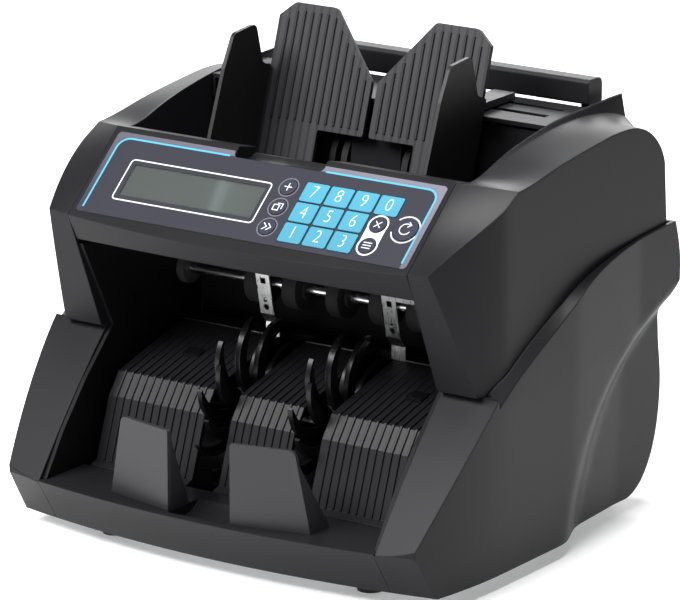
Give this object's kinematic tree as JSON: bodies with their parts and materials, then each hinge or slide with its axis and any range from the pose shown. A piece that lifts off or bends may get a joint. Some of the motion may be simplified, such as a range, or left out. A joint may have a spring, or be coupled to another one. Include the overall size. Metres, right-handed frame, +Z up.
{
  "type": "banknote counting machine",
  "caption": "Desktop banknote counter with a keypad and display panel, a rear hopper with sliding guides, a roller note path, stacker wheels and a front stacking pocket.",
  "frame": {"origin": "bottom centre of the bounding box, on the surface that the machine stands on", "axes": "+Z up, +Y to the back of the machine, +X to the right of an operator who faces the panel"},
  "size_m": [0.294, 0.2641, 0.276],
  "materials": {
    "shell_black": "satin moulded plastic, fine texture",
    "mech_black": "dark matt plastic",
    "guide_black": "satin ribbed plastic",
    "overlay_print": "printed polyester sheet",
    "key_blue": "light blue key caps",
    "key_dark": "dark round key caps",
    "window_glass": "clear display window",
    "display_grey": "reflective grey-green display cell",
    "board_green": "circuit board laminate",
    "roller_rubber": "matt rubber",
    "foot_rubber": "matt rubber",
    "shaft_steel": "ground steel",
    "sheet_steel": "zinc-plated sheet",
    "screw_steel": "zinc-plated",
    "bush_plastic": "self-lubricating plastic",
    "pulley_plastic": "white moulded plastic",
    "belt_rubber": "matt rubber",
    "motor_metal": "zinc-plated can"
  },
  "bodies": {
    "housing": {"base_pan": "sheet_steel", "base_screws": "screw_steel", "carry_handle": "shell_black", "control_board": "board_green", "cross_rail": "shell_black", "display_module": "display_grey", "display_window": "window_glass", "drive_belt": "belt_rubber", "drive_motor": "motor_metal", "feet": "foot_rubber", "front_band": "shell_black", "front_bezel": "shell_black", "hopper_tray": "guide_black", "leaf_strips": "shaft_steel", "lower_shell_left": "shell_black", "lower_shell_right": "shell_black", "main_board": "board_green", "mouth_cheeks": "mech_black", "note_guide": "mech_black", "panel_overlay": "overlay_print", "power_inlet": "mech_black", "power_supply": "sheet_steel", "rear_cover": "shell_black", "separator_pad": "roller_rubber", "shaft_bushes": "bush_plastic", "side_frames": "sheet_steel", "stoppers": "guide_black", "tray_panels": "guide_black", "upper_cover_left": "shell_black", "upper_cover_right": "shell_black"},
    "stacker": {"stacker_shaft": "shaft_steel", "stacker_wheels": "mech_black", "stacker_pulley": "pulley_plastic"},
    "feed": {"feed_shaft": "shaft_steel", "feed_rollers": "roller_rubber", "feed_pulley": "pulley_plastic"},
    "exit": {"exit_shaft": "shaft_steel", "exit_rollers": "roller_rubber", "exit_pulley": "pulley_plastic"},
    "motor": {"motor_pulley": "pulley_plastic"},
    "guide_left": {"guide_left": "guide_black"},
    "guide_right": {"guide_right": "guide_black"},
    "gap_knob": {"gap_knob": "mech_black"},
    "power_rocker": {"power_rocker": "mech_black"},
    "key_0": {"key_0": "key_blue"},
    "key_1": {"key_1": "key_blue"},
    "key_2": {"key_2": "key_blue"},
    "key_3": {"key_3": "key_blue"},
    "key_4": {"key_4": "key_blue"},
    "key_5": {"key_5": "key_blue"},
    "key_6": {"key_6": "key_blue"},
    "key_7": {"key_7": "key_blue"},
    "key_8": {"key_8": "key_blue"},
    "key_9": {"key_9": "key_blue"},
    "key_add": {"key_add": "key_dark"},
    "key_batch": {"key_batch": "key_dark"},
    "key_clear": {"key_clear": "key_dark"},
    "key_density": {"key_density": "key_dark"},
    "key_restart": {"key_restart": "key_dark"},
    "key_speed": {"key_speed": "key_dark"}
  },
  "joints": [
    {"name": "stacker_spin", "type": "hinge", "parent": "housing", "child": "stacker", "pos_m": [0, -0.032, 0.068], "axis": [1, 0, 0], "continuous": true},
    {"name": "feed_spin", "type": "hinge", "parent": "housing", "child": "feed", "pos_m": [0, 0.06, 0.19], "axis": [1, 0, 0], "continuous": true},
    {"name": "exit_spin", "type": "hinge", "parent": "housing", "child": "exit", "pos_m": [0, 0.011, 0.126], "axis": [1, 0, 0], "continuous": true},
    {"name": "motor_spin", "type": "hinge", "parent": "housing", "child": "motor", "pos_m": [0, 0.075, 0.06], "axis": [1, 0, 0], "continuous": true},
    {"name": "guide_right_slide", "type": "slide", "parent": "housing", "child": "guide_right", "axis": [1, 0, 0], "range_m": [0, 0.034]},
    {"name": "guide_left_slide", "type": "slide", "parent": "housing", "child": "guide_left", "axis": [-1, 0, 0], "range_m": [0, 0.034]},
    {"name": "gap_knob_turn", "type": "hinge", "parent": "housing", "child": "gap_knob", "pos_m": [0, 0.083, 0.231], "axis": [0, 0, 1], "range_deg": [-180, 180]},
    {"name": "power_rocker_tilt", "type": "hinge", "parent": "housing", "child": "power_rocker", "pos_m": [-0.044, 0.1235, 0.04], "axis": [1, 0, 0], "range_deg": [0, 24]},
    {"name": "key_0_press", "type": "slide", "parent": "housing", "child": "key_0", "axis": [0, 0.6562, -0.7546], "range_m": [0, 0.0006], "stiffness_N_per_m": 800},
    {"name": "key_1_press", "type": "slide", "parent": "housing", "child": "key_1", "axis": [0, 0.6562, -0.7546], "range_m": [0, 0.0006], "stiffness_N_per_m": 800},
    {"name": "key_2_press", "type": "slide", "parent": "housing", "child": "key_2", "axis": [0, 0.6562, -0.7546], "range_m": [0, 0.0006], "stiffness_N_per_m": 800},
    {"name": "key_3_press", "type": "slide", "parent": "housing", "child": "key_3", "axis": [0, 0.6562, -0.7546], "range_m": [0, 0.0006], "stiffness_N_per_m": 800},
    {"name": "key_4_press", "type": "slide", "parent": "housing", "child": "key_4", "axis": [0, 0.6562, -0.7546], "range_m": [0, 0.0006], "stiffness_N_per_m": 800},
    {"name": "key_5_press", "type": "slide", "parent": "housing", "child": "key_5", "axis": [0, 0.6562, -0.7546], "range_m": [0, 0.0006], "stiffness_N_per_m": 800},
    {"name": "key_6_press", "type": "slide", "parent": "housing", "child": "key_6", "axis": [0, 0.6562, -0.7546], "range_m": [0, 0.0006], "stiffness_N_per_m": 800},
    {"name": "key_7_press", "type": "slide", "parent": "housing", "child": "key_7", "axis": [0, 0.6562, -0.7546], "range_m": [0, 0.0006], "stiffness_N_per_m": 800},
    {"name": "key_8_press", "type": "slide", "parent": "housing", "child": "key_8", "axis": [0, 0.6562, -0.7546], "range_m": [0, 0.0006], "stiffness_N_per_m": 800},
    {"name": "key_9_press", "type": "slide", "parent": "housing", "child": "key_9", "axis": [0, 0.6562, -0.7546], "range_m": [0, 0.0006], "stiffness_N_per_m": 800},
    {"name": "key_add_press", "type": "slide", "parent": "housing", "child": "key_add", "axis": [0, 0.6562, -0.7546], "range_m": [0, 0.0006], "stiffness_N_per_m": 800},
    {"name": "key_batch_press", "type": "slide", "parent": "housing", "child": "key_batch", "axis": [0, 0.6562, -0.7546], "range_m": [0, 0.0006], "stiffness_N_per_m": 800},
    {"name": "key_clear_press", "type": "slide", "parent": "housing", "child": "key_clear", "axis": [0, 0.6562, -0.7546], "range_m": [0, 0.0006], "stiffness_N_per_m": 800},
    {"name": "key_density_press", "type": "slide", "parent": "housing", "child": "key_density", "axis": [0, 0.6562, -0.7546], "range_m": [0, 0.0006], "stiffness_N_per_m": 800},
    {"name": "key_restart_press", "type": "slide", "parent": "housing", "child": "key_restart", "axis": [0, 0.6562, -0.7546], "range_m": [0, 0.0006], "stiffness_N_per_m": 800},
    {"name": "key_speed_press", "type": "slide", "parent": "housing", "child": "key_speed", "axis": [0, 0.6562, -0.7546], "range_m": [0, 0.0006], "stiffness_N_per_m": 800}
  ],
  "couplings": [
    {"joint": "feed_spin", "follows": "stacker_spin", "ratio": 1.1667},
    {"joint": "exit_spin", "follows": "stacker_spin", "ratio": 0.96552},
    {"joint": "motor_spin", "follows": "stacker_spin", "ratio": 1.75}
  ]
}
